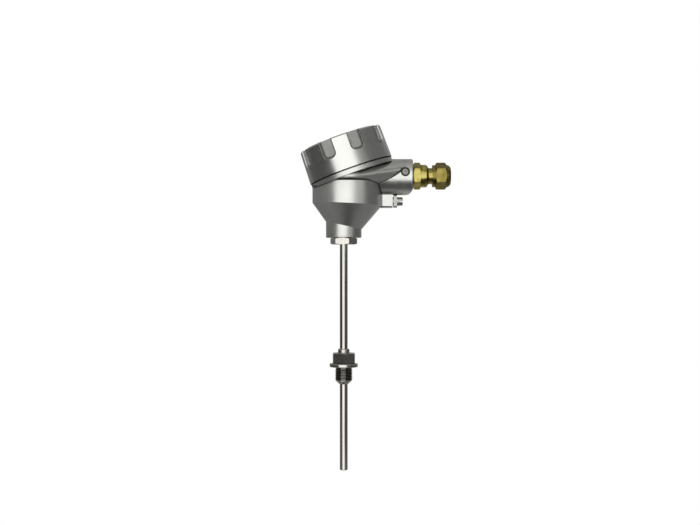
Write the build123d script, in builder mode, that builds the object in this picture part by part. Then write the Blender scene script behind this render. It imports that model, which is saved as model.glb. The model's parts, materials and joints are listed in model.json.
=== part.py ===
from build123d import *
import os
from math import asin, atan2, cos, hypot, radians, sin, tan

# Temperature sensor with a leaning screw lid. Millimetres, +Z up along the stem, +X towards
# the cable gland. The origin is the centre of the sealing face under the process flange.

os.makedirs("parts", exist_ok=True)

# Fits and gaps
running_gap = 0.06
seat_gap = 0.3
face_gap = 0.1
thread_crest_gap = 0.05
cut_past = 1.0

# Protection tube and its closed tip
tube_radius = 4.0
tube_wall = 0.9
tip_z = -105.5
tip_plug_height = 1.6
tip_plug_spigot = 2.0
tip_round = 0.8
tube_set_back = 2.0

# Process fitting
process_thread_radius = 9.0
process_thread_length = 13.3
process_nose_height = 4.2
process_nose_land = 0.6
flange_radius = 14.5
flange_height = 3.6
flange_round = 0.8
process_hex_flats = 22.0
process_hex_height = 10.8
process_hex_turn = 3.7
process_collar_radius = 5.9
process_collar_height = 4.3
process_collar_round = 1.2
hex_corner_bevel = 30.0

# Neck of the housing and the union screwed into it
neck_bottom_z = 132.3
neck_radius = 18.2
neck_top_z = 152.0
neck_edge = 0.6
union_hex_flats = 24.0
union_hex_height = 6.8
union_hex_turn = -7.0
union_thread_radius = 9.0
union_thread_length = 12.0

# Leaning seat for the lid, sized from the spigot that the lid screws on
lean = 19.5
mouth_x = 7.6
mouth_z = 201.0
lid_gap = 0.8
spigot_radius = 38.0
spigot_height = 12.0
spigot_bevel = 1.0
spigot_wall = 4.5
ledge_width = 4.0
ledge_top = 2.5
lid_wall = 6.0
lid_draft = 1.5
seat_inset = 0.6
seat_height = 4.4
seat_overhang = 7.9

# Body of the housing: a straight drum on a leaning cone
body_x = 3.4
body_wall = 3.5
cone_half_angle = 38.0
cone_lean = 2.6
cone_foot_radius = 13.0
cone_foot_z = 137.7
cone_spread = 12.0

# Cable entry boss and the web that runs it into the body
entry_face_x = 70.6
entry_z = 195.5
boss_radius = 18.5
boss_drop = 1.0
boss_start_x = 26.0
boss_edge_round = 1.5
boss_corner_round = 8.0
entry_thread_radius = 10.0
web_band_proud = 2.0
web_band_half_height = 15.4
web_band_z = 194.0
web_end_x = 62.0
web_end_z = 201.5
web_end_inset = 1.8
web_end_half_height = 11.5

# Lid
lid_height = 34.4
lid_crown_round = 2.0
lid_mouth_bevel = 0.5
lid_top_wall = 4.2
lid_thread_step = 1.66
lid_thread_height = 12.6
grip_count = 9
grip_start_angle = 8.1
grip_floor_width = 10.6
grip_length = 17.0
grip_depth = 3.2
grip_corner_round = 3.0
grip_flare = 35.0

# Lid seal
seal_wire_radius = 1.0
seal_land = 0.1
seal_pocket_depth = 3.0

# Cable gland
gland_gasket_height = 0.6
gland_gasket_radius = 12.0
gland_hex_flats = 24.0
gland_hex_height = 7.5
gland_hex_turn = 30.0
gland_barrel_radius = 11.6
gland_barrel_height = 6.7
gland_waist_radius = 8.3
gland_waist_height = 5.3
gland_shoulder_slope = 1.2
gland_entry_length = 15.0
gland_bore_radius = 5.5
gland_nose_height = 9.4
insert_radius = 6.9
insert_height = 9.8
cable_radius = 3.5
press_ring_height = 2.6
press_ring_bore = 4.8
cap_collar_radius = 11.3
cap_collar_height = 3.1
cap_hex_flats = 24.0
cap_hex_height = 11.7
cap_dome_height = 4.0
cap_dome_radius = 6.9
cap_dome_foot_radius = 11.4
cap_dome_bulge = 1.19
cap_mouth_radius = 5.4

# Entry locking screw
lock_x = 62.3
lock_z = 198.6
lock_pocket_radius = 4.7
lock_pocket_floor_y = -14.6
lock_head_radius = 3.4
lock_head_height = 2.6
lock_head_bevel = 0.4
lock_shank_radius = 2.0
lock_socket_flats = 2.5
lock_socket_depth = 1.6
lock_tip_y = -10.6

# Outer earth terminal, hung below the boss
earth_drop = 6.5
earth_pad_width = 14.0
earth_pad_height = 15.0
earth_pad_rise = 1.0
earth_pad_face_x = 49.9
earth_pad_round = 2.0
earth_foot_radius = 4.6
earth_foot_height = 1.0
earth_clamp_width = 12.4
earth_clamp_height = 3.4
earth_clamp_round = 1.5
earth_clamp_bore = 2.8
earth_washer_radius = 4.6
earth_washer_bore = 2.7
earth_washer_height = 1.6
earth_washer_split = 1.0
earth_head_radius = 4.35
earth_head_height = 4.2
earth_head_bevel = 0.5
earth_shank_radius = 2.5
earth_shank_engaged = 6.0
earth_hole_depth = 9.0
earth_slot_width = 1.4
earth_slot_depth = 2.0

# Measuring insert: plate, terminal block, sheath and element
insert_seat_z = 160.0
insert_well_radius = 14.0
insert_well_floor_z = 148.0
plate_radius = 21.0
plate_height = 1.6
block_radius = 20.0
block_height = 9.0
block_rib_height = 5.5
block_rib_width = 2.0
block_notch_radius = 4.4
block_edge_round = 1.0
mount_screw_spacing = 33.0
mount_shank_radius = 2.0
mount_head_radius = 3.5
mount_head_height = 2.4
mount_thread_depth = 7.0
spring_radius = 2.9
spring_wire_radius = 0.4
spring_turns = 4
spring_height = 7.2
terminal_count = 4
terminal_circle_radius = 11.5
terminal_width = 6.4
terminal_round = 0.8
terminal_height = 5.0
terminal_screw_radius = 1.5
terminal_head_radius = 2.6
terminal_head_height = 1.8
screw_slot_width = 0.8
screw_slot_depth = 0.9
sheath_radius = 3.0
sheath_wall = 0.5
sheath_floor = 1.0
sheath_tip_gap = 0.5
insulator_radius = 2.4
wire_radius = 0.3
wire_circle_radius = 1.2
wire_bore_gap = 0.1
element_radius = 1.5
element_length = 25.0
element_gap = 0.4
element_foot_round = 0.8
wire_bend_radius = 1.5
block_bore_radius = 4.2

# Inner earth terminal
inner_earth_x = 25.4
inner_earth_head_radius = 3.2
inner_earth_head_height = 2.2
inner_earth_shank_radius = 2.0
inner_earth_depth = 4.5


# Planes and points that several pieces share
lid_out = (-sin(radians(lean)), 0, cos(radians(lean)))
lid_across = (cos(radians(lean)), 0, sin(radians(lean)))
lid_plane = Plane(origin=(mouth_x, 0, mouth_z), x_dir=lid_across, z_dir=lid_out)
lid_section = Plane(origin=(mouth_x, 0, mouth_z), x_dir=lid_across, z_dir=(0, -1, 0))
lid_axis = Axis((mouth_x, 0, mouth_z), lid_out)
entry_axis = Axis((0, 0, entry_z), (1, 0, 0))
entry_section = Plane(origin=(0, 0, entry_z), x_dir=(1, 0, 0), z_dir=(0, -1, 0))
boss_z = entry_z - boss_drop
earth_z = boss_z - boss_radius - earth_drop
seat_top = -lid_gap
seat_bottom = seat_top - seat_height
lid_bore_radius = spigot_radius + running_gap
lid_mouth_radius = spigot_radius + lid_wall
lid_crown_radius = lid_mouth_radius - lid_height * tan(radians(lid_draft))
seat_radius = lid_mouth_radius - seat_inset
chamber_radius = spigot_radius - spigot_wall
ledge_radius = chamber_radius - ledge_width
body_radius = seat_radius - seat_overhang
web_band_radius = body_radius + web_band_proud
cone_drop = (body_radius - cone_foot_radius) / tan(radians(cone_half_angle))
cone_top_z = cone_foot_z + cone_drop
web_end_half_width = boss_radius - web_end_inset


def entry_plane(x, height=entry_z):
    """A plane across the cable entry at x, whose local x runs along +Y."""
    return Plane(origin=(x, 0, height), x_dir=(0, 1, 0), z_dir=(1, 0, 0))


def hexagon_radius(flats):
    """Corner radius of a hexagon from its width over flats."""
    return flats / 2 / cos(radians(30))


# Protection tube: one drawn tube from the neck union down to the tip
tube_top_z = neck_bottom_z + union_thread_length - tube_set_back
tube_bottom_z = tip_z + tip_plug_height
with BuildPart() as protection_tube:
    with BuildSketch(Plane.XY.offset(tube_bottom_z)):
        Circle(tube_radius)
        Circle(tube_radius - tube_wall, mode=Mode.SUBTRACT)
    extrude(amount=tube_top_z - tube_bottom_z)
protection_tube.part.label = "protection_tube"
export_step(protection_tube.part, "parts/protection_tube.step")

# Tip plug: the welded end cap, with a short spigot up inside the tube
with BuildPart() as tip_plug:
    with BuildSketch(Plane.XY.offset(tip_z)):
        Circle(tube_radius)
    extrude(amount=tip_plug_height)
    fillet(tip_plug.edges().sort_by(Axis.Z)[0], tip_round)
    with BuildSketch(Plane.XY.offset(tube_bottom_z)):
        Circle(tube_radius - tube_wall)
    extrude(amount=tip_plug_spigot)
tip_plug.part.label = "tip_plug"
export_step(tip_plug.part, "parts/tip_plug.step")

# Process fitting: flange, hexagon and collar turned from one bar and brazed on the tube
hex_top_z = flange_height + process_hex_height
collar_top_z = hex_top_z + process_collar_height
hex_corner = hexagon_radius(process_hex_flats)
bevel_rise = (hex_corner - process_hex_flats / 2) * tan(radians(hex_corner_bevel))
with BuildPart() as process_fitting:
    with BuildSketch(Plane.XY.offset(flange_height)):
        RegularPolygon(hex_corner, 6, rotation=process_hex_turn + 90)
    extrude(amount=process_hex_height)
    with BuildSketch(Plane.XZ):
        with BuildLine():
            Polyline(
                (0, flange_height),
                (hex_corner, flange_height),
                (hex_corner, hex_top_z - bevel_rise),
                (process_hex_flats / 2, hex_top_z),
                (0, hex_top_z),
                close=True,
            )
        make_face()
    revolve(axis=Axis.Z, mode=Mode.INTERSECT)
    with BuildSketch():
        Circle(flange_radius)
    extrude(amount=flange_height)
    fillet(process_fitting.edges().filter_by(GeomType.CIRCLE).sort_by(SortBy.RADIUS)[-2:], flange_round)
    with BuildSketch(Plane.XY.offset(hex_top_z)):
        Circle(process_collar_radius)
    extrude(amount=process_collar_height)
    fillet(process_fitting.edges().sort_by(Axis.Z)[-1], process_collar_round)
    with BuildSketch():
        Circle(process_thread_radius)
    extrude(amount=-process_thread_length)
    with BuildSketch(Plane.XZ):
        with BuildLine():
            Polyline(
                (0, -process_thread_length),
                (process_thread_radius, -process_thread_length),
                (tube_radius + process_nose_land, -process_thread_length - process_nose_height),
                (0, -process_thread_length - process_nose_height),
                close=True,
            )
        make_face()
    revolve(axis=Axis.Z)
    with BuildSketch(Plane.XY.offset(collar_top_z)):
        Circle(tube_radius)
    extrude(amount=-(collar_top_z + process_thread_length + process_nose_height), mode=Mode.SUBTRACT)
process_fitting.part.label = "process_fitting"
export_step(process_fitting.part, "parts/process_fitting.step")

# Neck union: hexagon below the neck, threaded shank up inside it, tube fixed in its bore
union_hex_bottom_z = neck_bottom_z - union_hex_height
union_corner = hexagon_radius(union_hex_flats)
union_bevel = (union_corner - union_hex_flats / 2) * tan(radians(hex_corner_bevel))
with BuildPart() as neck_union:
    with BuildSketch(Plane.XY.offset(union_hex_bottom_z)):
        RegularPolygon(union_corner, 6, rotation=union_hex_turn)
    extrude(amount=union_hex_height)
    with BuildSketch(Plane.XZ):
        with BuildLine():
            Polyline(
                (0, union_hex_bottom_z),
                (union_hex_flats / 2, union_hex_bottom_z),
                (union_corner, union_hex_bottom_z + union_bevel),
                (union_corner, neck_bottom_z - union_bevel),
                (union_hex_flats / 2, neck_bottom_z),
                (0, neck_bottom_z),
                close=True,
            )
        make_face()
    revolve(axis=Axis.Z, mode=Mode.INTERSECT)
    with BuildSketch(Plane.XY.offset(neck_bottom_z)):
        Circle(union_thread_radius)
    extrude(amount=union_thread_length)
    with BuildSketch(Plane.XY.offset(union_hex_bottom_z)):
        Circle(tube_radius)
    extrude(amount=union_hex_height + union_thread_length, mode=Mode.SUBTRACT)
neck_union.part.label = "neck_union"
export_step(neck_union.part, "parts/neck_union.step")

# Housing: drum, leaning cone, neck, lid seat, entry boss and web are one casting.
# The web is a band round the drum that tapers along a tangent into the boss.
cone_up = (sin(radians(cone_lean)), 0, cos(radians(cone_lean)))
cone_side = (cos(radians(cone_lean)), 0, -sin(radians(cone_lean)))
cone_section = Plane(origin=(body_x, 0, cone_top_z), x_dir=cone_side, z_dir=(0, -1, 0))
cone_axis = Axis((body_x, 0, cone_top_z), cone_up)
web_reach = hypot(web_end_x - body_x, web_end_half_width)
web_angle = asin(web_band_radius / web_reach) - atan2(web_end_half_width, web_end_x - body_x)
web_start_x = body_x + web_band_radius * sin(web_angle)
web_share = cos(web_angle)
inner_radius = body_radius - body_wall
cut_reach = 2 * seat_radius
casting_reach = mouth_z - neck_bottom_z + seat_radius
inner_cone_drop = (cone_top_z - insert_seat_z) * tan(radians(cone_half_angle))

# Entry boss: a round bar with an eased end and a rounded lower corner
with BuildPart() as entry_boss:
    with BuildSketch(entry_plane(boss_start_x, boss_z)):
        Circle(boss_radius)
    extrude(amount=entry_face_x - boss_start_x)
    fillet(entry_boss.edges().sort_by(Axis.X)[-1], boss_edge_round)
    with BuildSketch(Plane.XZ.offset(-boss_radius)):
        with Locations((entry_face_x, boss_z - boss_radius)):
            Rectangle(boss_corner_round, boss_corner_round, align=(Align.MAX, Align.MIN))
        with Locations((entry_face_x - boss_corner_round, boss_z - boss_radius + boss_corner_round)):
            Circle(boss_corner_round, mode=Mode.SUBTRACT)
    extrude(amount=2 * boss_radius, mode=Mode.SUBTRACT)

# Spigot that the lid screws on, with a bevel that leads the lid on
with BuildPart() as spigot:
    with BuildSketch(lid_plane.offset(seat_top)):
        Circle(spigot_radius)
    extrude(amount=lid_gap + spigot_height)
    chamfer(spigot.edges().sort_by(lid_axis)[-1], spigot_bevel)

with BuildPart() as housing:
    with BuildSketch(Plane.XY.offset(neck_bottom_z)):
        with Locations((body_x, 0)):
            Circle(body_radius)
    extrude(amount=casting_reach)
    with BuildSketch(cone_section):
        with BuildLine():
            Polyline(
                (0, -cone_drop),
                (cone_foot_radius, -cone_drop),
                (body_radius + cone_spread, cone_spread / tan(radians(cone_half_angle))),
                (body_radius + cone_spread, casting_reach),
                (0, casting_reach),
                close=True,
            )
        make_face()
    revolve(axis=cone_axis, mode=Mode.INTERSECT)
    with BuildSketch(Plane.XY.offset(neck_bottom_z)):
        Circle(neck_radius)
    extrude(amount=neck_top_z - neck_bottom_z)
    chamfer(housing.edges().sort_by(Axis.Z)[0], neck_edge)
    with BuildSketch(Plane.XZ):
        with Locations((body_x, web_band_z)):
            Ellipse(web_band_radius, web_band_half_height)
            Rectangle(web_band_radius, 2 * web_band_half_height, align=(Align.MAX, Align.CENTER),
                      mode=Mode.SUBTRACT)
    revolve(axis=Axis((body_x, 0, 0), (0, 0, 1)))
    with BuildSketch(entry_plane(web_start_x, web_band_z)):
        Ellipse(web_band_radius * web_share, web_band_half_height * web_share)
    with BuildSketch(entry_plane(web_end_x, web_end_z)):
        Ellipse(web_end_half_width, web_end_half_height)
    loft(ruled=True)
    add(entry_boss.part)
    with BuildSketch(lid_plane.offset(seat_bottom)):
        Circle(seat_radius)
    extrude(amount=seat_height)
    with BuildSketch(lid_plane.offset(seat_top)):
        Circle(cut_reach)
    extrude(amount=casting_reach, mode=Mode.SUBTRACT)
    add(spigot.part)
    # Earth pad on the drum, below the boss
    with BuildSketch(entry_plane(body_x + body_radius / 2, earth_z + earth_pad_rise)):
        RectangleRounded(earth_pad_width, earth_pad_height, earth_pad_round)
    extrude(amount=earth_pad_face_x - body_x - body_radius / 2)
    # Hollow: drum bore, chamber above the ledge, seat and well of the insert
    with BuildSketch(Plane.XY.offset(cone_top_z)):
        with Locations((body_x, 0)):
            Circle(inner_radius)
    hollow = extrude(amount=casting_reach, mode=Mode.PRIVATE)
    with BuildSketch(lid_plane.offset(seat_bottom)):
        Circle(cut_reach)
    above_seat = extrude(amount=casting_reach, mode=Mode.PRIVATE)
    add(hollow - above_seat, mode=Mode.SUBTRACT)
    with BuildSketch(lid_plane.offset(seat_bottom - cut_past)):
        Circle(ledge_radius)
    extrude(amount=spigot_height - seat_bottom + 2 * cut_past, mode=Mode.SUBTRACT)
    with BuildSketch(lid_plane.offset(-ledge_top)):
        Circle(chamber_radius)
    extrude(amount=spigot_height + ledge_top + cut_past, mode=Mode.SUBTRACT)
    with BuildSketch(Plane.XZ):
        with BuildLine():
            Polyline(
                (body_x, cone_top_z),
                (body_x + inner_radius, cone_top_z),
                (body_x + inner_radius - inner_cone_drop, insert_seat_z),
                (body_x, insert_seat_z),
                close=True,
            )
        make_face()
    revolve(axis=Axis((body_x, 0, 0), (0, 0, 1)), mode=Mode.SUBTRACT)
    with BuildSketch(Plane.XY.offset(insert_well_floor_z)):
        Circle(insert_well_radius)
    extrude(amount=insert_seat_z - insert_well_floor_z, mode=Mode.SUBTRACT)
    with BuildSketch(Plane.XY.offset(neck_bottom_z)):
        Circle(union_thread_radius + thread_crest_gap)
    extrude(amount=insert_well_floor_z - neck_bottom_z, mode=Mode.SUBTRACT)
    # Threaded cable entry into the chamber
    with BuildSketch(entry_plane(body_x)):
        Circle(entry_thread_radius + thread_crest_gap)
    extrude(amount=entry_face_x - body_x, mode=Mode.SUBTRACT)
    # Screw holes: insert, inner earth, outer earth and entry locking screw
    with BuildSketch(Plane.XY.offset(insert_seat_z)):
        with Locations((0, mount_screw_spacing / 2), (0, -mount_screw_spacing / 2)):
            Circle(mount_shank_radius + thread_crest_gap)
    extrude(amount=-mount_thread_depth, mode=Mode.SUBTRACT)
    with BuildSketch(Plane.XY.offset(insert_seat_z)):
        with Locations((inner_earth_x, 0)):
            Circle(inner_earth_shank_radius + thread_crest_gap)
    extrude(amount=-inner_earth_depth, mode=Mode.SUBTRACT)
    with BuildSketch(entry_plane(earth_pad_face_x, earth_z)):
        Circle(earth_shank_radius + running_gap)
    extrude(amount=-earth_hole_depth, mode=Mode.SUBTRACT)
    with BuildSketch(Plane.XZ.offset(boss_radius)):
        with Locations((lock_x, lock_z)):
            Circle(lock_pocket_radius)
    extrude(amount=-(boss_radius + lock_pocket_floor_y), mode=Mode.SUBTRACT)
    with BuildSketch(Plane.XZ.offset(boss_radius)):
        with Locations((lock_x, lock_z)):
            Circle(lock_shank_radius + thread_crest_gap)
    extrude(amount=-boss_radius, mode=Mode.SUBTRACT)
housing.part.label = "housing"
export_step(housing.part, "parts/housing.step")

# Lid: turned cap with a threaded bore, a seal pocket in its mouth and grip recesses round its crown
grip_spread = 2 * grip_depth * tan(radians(grip_flare))
with BuildPart() as grip_cutter:
    with BuildSketch(Plane.YZ.offset(-grip_depth)) as grip_floor:
        with Locations((0, lid_height - grip_length)):
            Rectangle(grip_floor_width, 2 * grip_length, align=(Align.CENTER, Align.MIN))
        fillet(grip_floor.vertices().sort_by(Axis.Y)[:2], grip_corner_round)
    with BuildSketch(Plane.YZ.offset(grip_depth)) as grip_rim:
        with Locations((0, lid_height - grip_length - grip_spread)):
            Rectangle(grip_floor_width + 2 * grip_spread, 2 * grip_length + grip_spread,
                      align=(Align.CENTER, Align.MIN))
        fillet(grip_rim.vertices().sort_by(Axis.Y)[:2], grip_corner_round + grip_spread)
    loft(ruled=True)

seal_ring_radius = lid_bore_radius + seal_land + seal_wire_radius
seal_pocket_radius = seal_ring_radius + seal_wire_radius + seal_land
lid_cavity_top = lid_height - lid_top_wall
lid_cavity_radius = lid_bore_radius - lid_thread_step
with BuildPart(lid_plane) as lid:
    with BuildSketch(lid_section):
        with BuildLine():
            Polyline(
                (0, 0),
                (lid_mouth_radius, 0),
                (lid_crown_radius, lid_height),
                (0, lid_height),
                close=True,
            )
        make_face()
    revolve(axis=lid_axis)
    fillet(lid.edges().sort_by(lid_axis)[-1], lid_crown_round)
    chamfer(lid.edges().sort_by(lid_axis)[0], lid_mouth_bevel)
    with PolarLocations(lid_crown_radius, grip_count, start_angle=grip_start_angle):
        add(grip_cutter.part, mode=Mode.SUBTRACT)
    with BuildSketch(lid_section):
        with BuildLine():
            Polyline(
                (0, 0),
                (seal_pocket_radius, 0),
                (seal_pocket_radius, seal_pocket_depth),
                (lid_bore_radius, seal_pocket_depth),
                (lid_bore_radius, lid_thread_height),
                (lid_cavity_radius, lid_thread_height),
                (lid_cavity_radius, lid_cavity_top),
                (0, lid_cavity_top),
                close=True,
            )
        make_face()
    revolve(axis=lid_axis, mode=Mode.SUBTRACT)
lid.part.label = "lid"
export_step(lid.part, "parts/lid.step")

# Lid seal: rubber ring held in the pocket in the lid's mouth
with BuildPart() as lid_seal:
    with BuildSketch(lid_section):
        with Locations((seal_ring_radius, seal_pocket_depth - seal_wire_radius - seat_gap)):
            Circle(seal_wire_radius)
    revolve(axis=lid_axis)
lid_seal.part.label = "lid_seal"
export_step(lid_seal.part, "parts/lid_seal.step")

# Gland: gasket, body, rubber insert, press ring and cap nut, one behind the other along X
gland_hex_x = entry_face_x + gland_gasket_height
gland_barrel_x = gland_hex_x + gland_hex_height
gland_waist_x = gland_barrel_x + gland_barrel_height
gland_waist_top = gland_waist_x + gland_waist_height
gland_nose_x = gland_waist_top + gland_nose_height
gland_corner = hexagon_radius(gland_hex_flats)
gland_bevel = (gland_corner - gland_hex_flats / 2) * tan(radians(hex_corner_bevel))

with BuildPart() as gland_gasket:
    with BuildSketch(entry_plane(entry_face_x)):
        Circle(gland_gasket_radius)
        Circle(entry_thread_radius, mode=Mode.SUBTRACT)
    extrude(amount=gland_gasket_height)
gland_gasket.part.label = "gland_gasket"
export_step(gland_gasket.part, "parts/gland_gasket.step")

insert_x = gland_nose_x - insert_height
with BuildPart() as gland_body:
    with BuildSketch(entry_plane(gland_hex_x)):
        RegularPolygon(gland_corner, 6, rotation=gland_hex_turn)
    extrude(amount=gland_hex_height)
    with BuildSketch(entry_section):
        with BuildLine():
            Polyline(
                (gland_hex_x, 0),
                (gland_hex_x, gland_hex_flats / 2),
                (gland_hex_x + gland_bevel, gland_corner),
                (gland_barrel_x - gland_bevel, gland_corner),
                (gland_barrel_x, gland_hex_flats / 2),
                (gland_barrel_x, 0),
                close=True,
            )
        make_face()
    revolve(axis=entry_axis, mode=Mode.INTERSECT)
    with BuildSketch(entry_section):
        with BuildLine():
            Polyline(
                (gland_hex_x - gland_entry_length, 0),
                (gland_hex_x - gland_entry_length, entry_thread_radius),
                (gland_hex_x, entry_thread_radius),
                (gland_hex_x, gland_barrel_radius),
                (gland_waist_x - gland_shoulder_slope, gland_barrel_radius),
                (gland_waist_x, gland_barrel_radius - gland_shoulder_slope),
                (gland_waist_x + gland_shoulder_slope, gland_waist_radius),
                (gland_nose_x, gland_waist_radius),
                (gland_nose_x, 0),
                close=True,
            )
        make_face()
    revolve(axis=entry_axis)
    with BuildSketch(entry_plane(gland_hex_x - gland_entry_length)):
        Circle(gland_bore_radius)
    extrude(amount=gland_nose_x - gland_hex_x + gland_entry_length, mode=Mode.SUBTRACT)
    with BuildSketch(entry_plane(gland_nose_x)):
        Circle(insert_radius)
    extrude(amount=-insert_height, mode=Mode.SUBTRACT)
gland_body.part.label = "gland_body"
export_step(gland_body.part, "parts/gland_body.step")

with BuildPart() as gland_insert:
    with BuildSketch(entry_plane(insert_x)):
        Circle(insert_radius)
        Circle(cable_radius, mode=Mode.SUBTRACT)
    extrude(amount=insert_height)
gland_insert.part.label = "gland_insert"
export_step(gland_insert.part, "parts/gland_insert.step")

press_ring_x = gland_nose_x + seat_gap
press_ring_top = press_ring_x + press_ring_height
with BuildPart() as press_ring:
    with BuildSketch(entry_plane(press_ring_x)):
        Circle(gland_waist_radius)
        Circle(press_ring_bore, mode=Mode.SUBTRACT)
    extrude(amount=press_ring_height)
press_ring.part.label = "press_ring"
export_step(press_ring.part, "parts/press_ring.step")

cap_x = gland_waist_top
cap_hex_x = cap_x + cap_collar_height
cap_hex_top = cap_hex_x + cap_hex_height
cap_top = cap_hex_top + cap_dome_height
cap_corner = hexagon_radius(cap_hex_flats)
cap_bevel = (cap_corner - cap_hex_flats / 2) * tan(radians(hex_corner_bevel))
with BuildPart() as gland_cap:
    with BuildSketch(entry_plane(cap_hex_x)):
        RegularPolygon(cap_corner, 6, rotation=gland_hex_turn)
    extrude(amount=cap_hex_height)
    with BuildSketch(entry_section):
        with BuildLine():
            Polyline(
                (cap_hex_x, 0),
                (cap_hex_x, cap_hex_flats / 2),
                (cap_hex_x + cap_bevel, cap_corner),
                (cap_hex_top - 2 * cap_bevel, cap_corner),
                (cap_hex_top, cap_dome_foot_radius),
                (cap_hex_top, 0),
                close=True,
            )
        make_face()
    revolve(axis=entry_axis, mode=Mode.INTERSECT)
    with BuildSketch(entry_section):
        with BuildLine():
            Line((cap_hex_top, 0), (cap_hex_top, cap_dome_foot_radius))
            SagittaArc((cap_hex_top, cap_dome_foot_radius), (cap_top, cap_dome_radius), cap_dome_bulge)
            Line((cap_top, cap_dome_radius), (cap_top, 0))
            Line((cap_top, 0), (cap_hex_top, 0))
        make_face()
    revolve(axis=entry_axis)
    with BuildSketch(entry_plane(cap_x)):
        Circle(cap_collar_radius)
    extrude(amount=cap_collar_height)
    with BuildSketch(entry_plane(cap_x)):
        Circle(gland_waist_radius + running_gap)
    extrude(amount=press_ring_top + running_gap - cap_x, mode=Mode.SUBTRACT)
    with BuildSketch(entry_plane(cap_x)):
        Circle(cap_mouth_radius)
    extrude(amount=cap_top - cap_x, mode=Mode.SUBTRACT)
gland_cap.part.label = "gland_cap"
export_step(gland_cap.part, "parts/gland_cap.step")

# Entry locking screw: socket head in a pocket on the boss, its tip against the gland thread
with BuildPart() as lock_screw:
    with BuildSketch(Plane.XZ.offset(-lock_pocket_floor_y)):
        with Locations((lock_x, lock_z)):
            Circle(lock_head_radius)
    extrude(amount=lock_head_height)
    chamfer(lock_screw.edges().sort_by(Axis.Y)[0], lock_head_bevel)
    with BuildSketch(Plane.XZ.offset(-lock_tip_y)):
        with Locations((lock_x, lock_z)):
            Circle(lock_shank_radius)
    extrude(amount=lock_tip_y - lock_pocket_floor_y)
    with BuildSketch(Plane.XZ.offset(lock_head_height - lock_pocket_floor_y)):
        with Locations((lock_x, lock_z)):
            RegularPolygon(hexagon_radius(lock_socket_flats), 6)
    extrude(amount=-lock_socket_depth, mode=Mode.SUBTRACT)
lock_screw.part.label = "lock_screw"
export_step(lock_screw.part, "parts/lock_screw.step")

# Outer earth terminal: clamp plate, split spring washer and slotted screw in front of the pad
clamp_foot_x = earth_pad_face_x + face_gap
clamp_x = clamp_foot_x + earth_foot_height
earth_washer_x = clamp_x + earth_clamp_height
earth_head_x = earth_washer_x + earth_washer_height + face_gap
with BuildPart() as earth_clamp:
    with BuildSketch(entry_plane(clamp_x, earth_z)):
        RectangleRounded(earth_clamp_width, earth_clamp_width, earth_clamp_round)
    extrude(amount=earth_clamp_height)
    with BuildSketch(entry_plane(clamp_foot_x, earth_z)):
        Circle(earth_foot_radius)
    extrude(amount=earth_foot_height)
    with BuildSketch(entry_plane(clamp_foot_x, earth_z)):
        Circle(earth_clamp_bore)
    extrude(amount=earth_washer_x - clamp_foot_x, mode=Mode.SUBTRACT)
earth_clamp.part.label = "earth_clamp"
export_step(earth_clamp.part, "parts/earth_clamp.step")

with BuildPart() as earth_washer:
    with BuildSketch(entry_plane(earth_washer_x, earth_z)):
        Circle(earth_washer_radius)
        Circle(earth_washer_bore, mode=Mode.SUBTRACT)
        Rectangle(2 * earth_washer_radius, earth_washer_split, align=(Align.MIN, Align.CENTER),
                  mode=Mode.SUBTRACT)
    extrude(amount=earth_washer_height)
earth_washer.part.label = "earth_washer"
export_step(earth_washer.part, "parts/earth_washer.step")

with BuildPart() as earth_screw:
    with BuildSketch(entry_plane(earth_head_x, earth_z)):
        Circle(earth_head_radius)
    extrude(amount=earth_head_height)
    chamfer(earth_screw.edges().sort_by(Axis.X)[-1], earth_head_bevel)
    with BuildSketch(entry_plane(earth_pad_face_x - earth_shank_engaged, earth_z)):
        Circle(earth_shank_radius)
    extrude(amount=earth_head_x - earth_pad_face_x + earth_shank_engaged)
    with BuildSketch(entry_plane(earth_head_x + earth_head_height, earth_z)):
        Rectangle(2 * earth_head_radius, earth_slot_width)
    extrude(amount=-earth_slot_depth, mode=Mode.SUBTRACT)
earth_screw.part.label = "earth_screw"
export_step(earth_screw.part, "parts/earth_screw.step")

# Measuring insert: plate on the seat, with the sheath welded through its middle
plate_top_z = insert_seat_z + plate_height
block_top_z = plate_top_z + block_height
terminal_top_z = block_top_z + terminal_height
with BuildPart() as insert_plate:
    with BuildSketch(Plane.XY.offset(insert_seat_z)):
        Circle(plate_radius)
        Circle(sheath_radius, mode=Mode.SUBTRACT)
        with GridLocations(0, mount_screw_spacing, 1, 2):
            Circle(mount_shank_radius + seat_gap, mode=Mode.SUBTRACT)
    extrude(amount=plate_height)
insert_plate.part.label = "insert_plate"
export_step(insert_plate.part, "parts/insert_plate.step")

# Terminal block: ceramic disc with crossed ribs between its four clamps
rib_reach_y = mount_screw_spacing - 2 * block_notch_radius - block_rib_width
with BuildPart() as terminal_block:
    with BuildSketch(Plane.XY.offset(plate_top_z)):
        Circle(block_radius)
    extrude(amount=block_height)
    fillet(terminal_block.edges().sort_by(Axis.Z)[-1], block_edge_round)
    with BuildSketch(Plane.XY.offset(block_top_z)):
        Rectangle(2 * (block_radius - block_rib_width), block_rib_width)
        Rectangle(block_rib_width, rib_reach_y)
    extrude(amount=block_rib_height)
    with BuildSketch(Plane.XY.offset(plate_top_z)):
        Circle(block_bore_radius)
        with GridLocations(0, mount_screw_spacing, 1, 2):
            Circle(block_notch_radius)
    extrude(amount=block_height + block_rib_height, mode=Mode.SUBTRACT)
terminal_block.part.label = "terminal_block"
export_step(terminal_block.part, "parts/terminal_block.step")

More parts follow.
